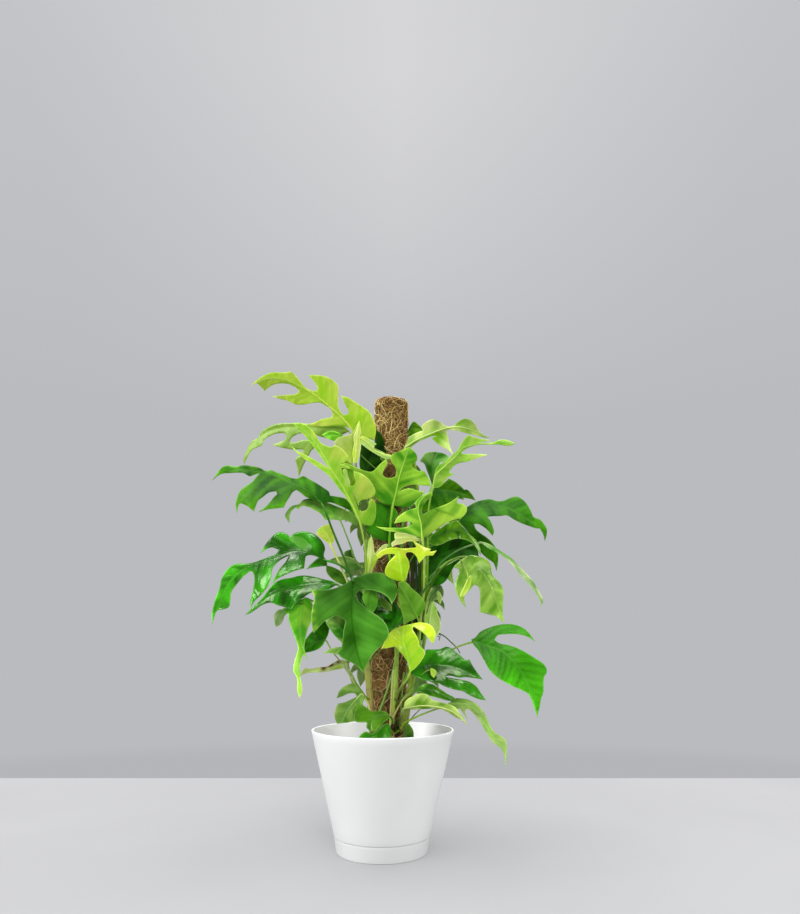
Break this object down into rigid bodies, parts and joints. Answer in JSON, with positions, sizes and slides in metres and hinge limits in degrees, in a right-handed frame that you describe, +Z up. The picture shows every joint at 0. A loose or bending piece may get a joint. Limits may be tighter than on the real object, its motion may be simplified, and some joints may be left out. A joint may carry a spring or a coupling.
{
  "type": "potted climbing aroid",
  "caption": "Potted climbing aroid with deeply split leaves on a coir pole, standing in a round white tapered pot with a matching saucer.",
  "frame": {"origin": "centre of the flat underside of the saucer, on the surface that the pot stands on", "axes": "+Z up along the pot's axis, +X to the right and +Y away from the viewer, as the plant is seen in the picture"},
  "size_m": [0.5247, 0.3536, 0.722],
  "materials": {
    "pot_plastic": "matt white, smooth",
    "saucer_plastic": "matt white, smooth",
    "potting_mix": "loose, crumbly and dark",
    "coir": "rough tangled golden-brown fibre",
    "stake": "raw",
    "stem": "smooth, satin, with paler joints",
    "leaf_lime": "satin, young lime green",
    "leaf_yellow_green": "satin, yellow green",
    "leaf_yellow": "glossy, new growth",
    "leaf_cream": "papery sheath",
    "leaf_olive": "satin olive",
    "leaf_pale": "satin underside",
    "leaf_browned": "dry at the edge",
    "leaf_green": "glossy mid green",
    "leaf_dark": "glossy dark green",
    "leaf_deep": "satin deep green"
  },
  "bodies": {
    "root": {"saucer": "saucer_plastic", "pot": "pot_plastic", "soil": "potting_mix", "coir_pole": "coir", "pole_core": "stake", "vine_left": "stem", "vine_centre": "stem", "vine_right": "stem", "vine_back": "stem", "crown_leaf": "leaf_lime", "upper_left_leaf": "leaf_olive", "arched_lime_leaf": "leaf_lime", "young_folded_leaf": "leaf_cream", "shaded_leaf_by_pole": "leaf_deep", "left_dark_leaf": "leaf_dark", "curled_leaf_under": "leaf_green", "yellow_bud_leaf": "leaf_yellow", "left_glossy_leaf": "leaf_green", "left_bright_leaf": "leaf_green", "big_front_leaf": "leaf_dark", "inner_dark_leaf": "leaf_deep", "left_hanging_leaf": "leaf_pale", "dark_oval_leaf": "leaf_dark", "shaded_lobed_leaf": "leaf_deep", "thin_browned_leaf": "leaf_browned", "low_left_leaf": "leaf_pale", "rim_front_leaf": "leaf_green", "pot_front_leaf": "leaf_green", "centre_leaf": "leaf_lime", "deep_leaf_behind": "leaf_deep", "upper_right_leaf": "leaf_lime", "right_lime_leaf": "leaf_lime", "sheen_leaf": "leaf_dark", "right_shaded_leaf": "leaf_deep", "right_glossy_leaf": "leaf_green", "yellow_centre_leaf": "leaf_yellow_green", "bright_young_leaf": "leaf_yellow", "cream_sheath_leaf": "leaf_cream", "right_light_leaf": "leaf_olive", "right_dark_leaf": "leaf_dark", "thin_twisted_leaf": "leaf_olive", "right_drooping_leaf": "leaf_lime", "right_big_leaf": "leaf_green", "olive_oval_leaf": "leaf_olive", "pale_back_leaf": "leaf_pale", "young_front_leaf": "leaf_yellow_green", "right_low_dark_leaf": "leaf_dark", "low_light_leaf": "leaf_pale", "low_dark_leaf": "leaf_deep", "low_right_long_leaf": "leaf_pale", "back_leaf_1": "leaf_green", "back_leaf_2": "leaf_dark", "back_leaf_3": "leaf_green", "back_leaf_4": "leaf_dark", "back_leaf_5": "leaf_green", "back_leaf_6": "leaf_dark", "back_leaf_7": "leaf_green", "back_leaf_8": "leaf_dark", "back_leaf_9": "leaf_green"}
  },
  "joints": []
}
